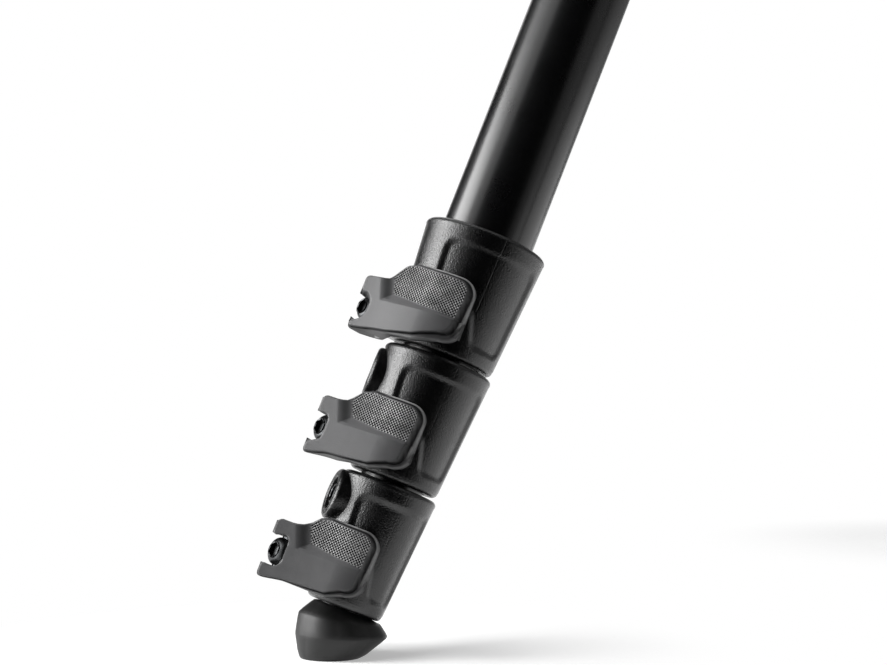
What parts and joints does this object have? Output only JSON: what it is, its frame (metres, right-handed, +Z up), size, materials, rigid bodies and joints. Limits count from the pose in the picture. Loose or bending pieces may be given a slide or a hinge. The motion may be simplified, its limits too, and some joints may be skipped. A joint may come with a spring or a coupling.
{
  "type": "camera tripod",
  "caption": "Collapsed travel camera tripod: telescoping legs with flip-lever lock collars and rubber feet, a centre column and a small ball head with a camera screw.",
  "frame": {"origin": "on the ground plane, under the centre column's axis", "axes": "+Z up along the centre column; the rear leg points to +Y and the column's lock knob to -Y"},
  "size_m": [0.363, 0.3173, 0.5103],
  "materials": {
    "tube_black": "satin black coat on drawn aluminium tube",
    "collar_black": "glossy moulded plastic with a fine grain",
    "lever_grey": "matte dark grey plastic, knurled thumb pad",
    "rubber_black": "matte black rubber",
    "steel_dark": "blackened steel",
    "cast_black": "satin black coat on cast alloy",
    "knob_black": "matte black plastic",
    "ball_metal": "turned, satin"
  },
  "bodies": {
    "shoulder": {"shoulder": "cast_black", "hinge_pins": "steel_dark"},
    "column": {"column_tube": "tube_black", "column_hook": "knob_black", "head_base": "cast_black"},
    "column_knob": {"column_lock_knob": "knob_black"},
    "head": {"ball_housing": "cast_black"},
    "ball": {"ball_stem": "ball_metal", "camera_plate": "cast_black", "plate_pad": "rubber_black"},
    "head_knob": {"ball_lock_knob": "knob_black"},
    "camera_screw": {"camera_screw_wheel": "ball_metal"},
    "leg_1": {"leg_1_hip": "cast_black", "leg_1_tube_1": "tube_black", "leg_1_collar_1": "collar_black", "leg_1_fittings_1": "steel_dark"},
    "leg_1_selector": {"leg_1_angle_selector": "lever_grey"},
    "leg_1_section_2": {"leg_1_tube_2": "tube_black", "leg_1_collar_2": "collar_black", "leg_1_fittings_2": "steel_dark"},
    "leg_1_section_3": {"leg_1_tube_3": "tube_black", "leg_1_collar_3": "collar_black", "leg_1_fittings_3": "steel_dark"},
    "leg_1_section_4": {"leg_1_tube_4": "tube_black", "leg_1_foot": "rubber_black"},
    "leg_1_lock_1": {"leg_1_lever_1": "lever_grey"},
    "leg_1_lock_2": {"leg_1_lever_2": "lever_grey"},
    "leg_1_lock_3": {"leg_1_lever_3": "lever_grey"},
    "leg_2": {"leg_2_hip": "cast_black", "leg_2_tube_1": "tube_black", "leg_2_collar_1": "collar_black", "leg_2_fittings_1": "steel_dark"},
    "leg_2_selector": {"leg_2_angle_selector": "lever_grey"},
    "leg_2_section_2": {"leg_2_tube_2": "tube_black", "leg_2_collar_2": "collar_black", "leg_2_fittings_2": "steel_dark"},
    "leg_2_section_3": {"leg_2_tube_3": "tube_black", "leg_2_collar_3": "collar_black", "leg_2_fittings_3": "steel_dark"},
    "leg_2_section_4": {"leg_2_tube_4": "tube_black", "leg_2_foot": "rubber_black"},
    "leg_2_lock_1": {"leg_2_lever_1": "lever_grey"},
    "leg_2_lock_2": {"leg_2_lever_2": "lever_grey"},
    "leg_2_lock_3": {"leg_2_lever_3": "lever_grey"},
    "leg_3": {"leg_3_hip": "cast_black", "leg_3_tube_1": "tube_black", "leg_3_collar_1": "collar_black", "leg_3_fittings_1": "steel_dark"},
    "leg_3_selector": {"leg_3_angle_selector": "lever_grey"},
    "leg_3_section_2": {"leg_3_tube_2": "tube_black", "leg_3_collar_2": "collar_black", "leg_3_fittings_2": "steel_dark"},
    "leg_3_section_3": {"leg_3_tube_3": "tube_black", "leg_3_collar_3": "collar_black", "leg_3_fittings_3": "steel_dark"},
    "leg_3_section_4": {"leg_3_tube_4": "tube_black", "leg_3_foot": "rubber_black"},
    "leg_3_lock_1": {"leg_3_lever_1": "lever_grey"},
    "leg_3_lock_2": {"leg_3_lever_2": "lever_grey"},
    "leg_3_lock_3": {"leg_3_lever_3": "lever_grey"}
  },
  "joints": [
    {"name": "column_slide", "type": "slide", "parent": "shoulder", "child": "column", "axis": [0, 0, 1], "range_m": [0, 0.17]},
    {"name": "column_knob_turn", "type": "hinge", "parent": "shoulder", "child": "column_knob", "pos_m": [0, -0.03, 0.39636], "axis": [0, -1, 0], "range_deg": [0, 300]},
    {"name": "head_pan", "type": "hinge", "parent": "column", "child": "head", "pos_m": [0, 0, 0.45066], "axis": [0, 0, 1], "continuous": true},
    {"name": "ball_tilt", "type": "hinge", "parent": "head", "child": "ball", "pos_m": [0, 0, 0.47216], "axis": [0, 1, 0], "range_deg": [-28, 90]},
    {"name": "head_knob_turn", "type": "hinge", "parent": "head", "child": "head_knob", "pos_m": [0, -0.02, 0.46716], "axis": [0, -1, 0], "range_deg": [0, 300]},
    {"name": "camera_screw_turn", "type": "hinge", "parent": "ball", "child": "camera_screw", "pos_m": [0, 0, 0.49966], "axis": [0, 0, 1], "continuous": true},
    {"name": "leg_1_swing", "type": "hinge", "parent": "shoulder", "child": "leg_1", "pos_m": [-0.02598, -0.015, 0.39236], "axis": [0.5, -0.866, 0], "range_deg": [0, 22.6]},
    {"name": "leg_1_selector_pull", "type": "slide", "parent": "leg_1", "child": "leg_1_selector", "axis": [-0.7995, -0.4616, 0.3843], "range_m": [0, 0.005], "stiffness_N_per_m": 300},
    {"name": "leg_1_section_2_slide", "type": "slide", "parent": "leg_1", "child": "leg_1_section_2", "axis": [-0.3328, -0.1921, -0.9232], "range_m": [0, 0.25]},
    {"name": "leg_1_section_3_slide", "type": "slide", "parent": "leg_1_section_2", "child": "leg_1_section_3", "axis": [-0.3328, -0.1921, -0.9232], "range_m": [0, 0.25]},
    {"name": "leg_1_section_4_slide", "type": "slide", "parent": "leg_1_section_3", "child": "leg_1_section_4", "axis": [-0.3328, -0.1921, -0.9232], "range_m": [0, 0.25]},
    {"name": "leg_1_lock_1_flip", "type": "hinge", "parent": "leg_1", "child": "leg_1_lock_1", "pos_m": [-0.15713, -0.08152, 0.0822], "axis": [-0.3328, -0.1921, -0.9232], "range_deg": [0, 110]},
    {"name": "leg_1_lock_2_flip", "type": "hinge", "parent": "leg_1_section_2", "child": "leg_1_lock_2", "pos_m": [-0.16611, -0.08989, 0.05299], "axis": [-0.3328, -0.1921, -0.9232], "range_deg": [0, 110]},
    {"name": "leg_1_lock_3_flip", "type": "hinge", "parent": "leg_1_section_3", "child": "leg_1_lock_3", "pos_m": [-0.17542, -0.09799, 0.02385], "axis": [-0.3328, -0.1921, -0.9232], "range_deg": [0, 110]},
    {"name": "leg_2_swing", "type": "hinge", "parent": "shoulder", "child": "leg_2", "pos_m": [0.02598, -0.015, 0.39236], "axis": [0.5, 0.866, 0], "range_deg": [0, 22.6]},
    {"name": "leg_2_selector_pull", "type": "slide", "parent": "leg_2", "child": "leg_2_selector", "axis": [0.7995, -0.4616, 0.3843], "range_m": [0, 0.005], "stiffness_N_per_m": 300},
    {"name": "leg_2_section_2_slide", "type": "slide", "parent": "leg_2", "child": "leg_2_section_2", "axis": [0.3328, -0.1921, -0.9232], "range_m": [0, 0.25]},
    {"name": "leg_2_section_3_slide", "type": "slide", "parent": "leg_2_section_2", "child": "leg_2_section_3", "axis": [0.3328, -0.1921, -0.9232], "range_m": [0, 0.25]},
    {"name": "leg_2_section_4_slide", "type": "slide", "parent": "leg_2_section_3", "child": "leg_2_section_4", "axis": [0.3328, -0.1921, -0.9232], "range_m": [0, 0.25]},
    {"name": "leg_2_lock_1_flip", "type": "hinge", "parent": "leg_2", "child": "leg_2_lock_1", "pos_m": [0.14916, -0.09531, 0.0822], "axis": [0.3328, -0.1921, -0.9232], "range_deg": [0, 110]},
    {"name": "leg_2_lock_2_flip", "type": "hinge", "parent": "leg_2_section_2", "child": "leg_2_lock_2", "pos_m": [0.1609, -0.09891, 0.05299], "axis": [0.3328, -0.1921, -0.9232], "range_deg": [0, 110]},
    {"name": "leg_2_lock_3_flip", "type": "hinge", "parent": "leg_2_section_3", "child": "leg_2_lock_3", "pos_m": [0.17257, -0.10293, 0.02385], "axis": [0.3328, -0.1921, -0.9232], "range_deg": [0, 110]},
    {"name": "leg_3_swing", "type": "hinge", "parent": "shoulder", "child": "leg_3", "pos_m": [0, 0.03, 0.39236], "axis": [-1, 0, 0], "range_deg": [0, 22.6]},
    {"name": "leg_3_selector_pull", "type": "slide", "parent": "leg_3", "child": "leg_3_selector", "axis": [0, 0.9232, 0.3843], "range_m": [0, 0.005], "stiffness_N_per_m": 300},
    {"name": "leg_3_section_2_slide", "type": "slide", "parent": "leg_3", "child": "leg_3_section_2", "axis": [0, 0.3843, -0.9232], "range_m": [0, 0.25]},
    {"name": "leg_3_section_3_slide", "type": "slide", "parent": "leg_3_section_2", "child": "leg_3_section_3", "axis": [0, 0.3843, -0.9232], "range_m": [0, 0.25]},
    {"name": "leg_3_section_4_slide", "type": "slide", "parent": "leg_3_section_3", "child": "leg_3_section_4", "axis": [0, 0.3843, -0.9232], "range_m": [0, 0.25]},
    {"name": "leg_3_lock_1_flip", "type": "hinge", "parent": "leg_3", "child": "leg_3_lock_1", "pos_m": [0.00796, 0.17684, 0.0822], "axis": [0, 0.3843, -0.9232], "range_deg": [0, 110]},
    {"name": "leg_3_lock_2_flip", "type": "hinge", "parent": "leg_3_section_2", "child": "leg_3_lock_2", "pos_m": [0.00521, 0.1888, 0.05299], "axis": [0, 0.3843, -0.9232], "range_deg": [0, 110]},
    {"name": "leg_3_lock_3_flip", "type": "hinge", "parent": "leg_3_section_3", "child": "leg_3_lock_3", "pos_m": [0.00285, 0.20092, 0.02385], "axis": [0, 0.3843, -0.9232], "range_deg": [0, 110]}
  ]
}
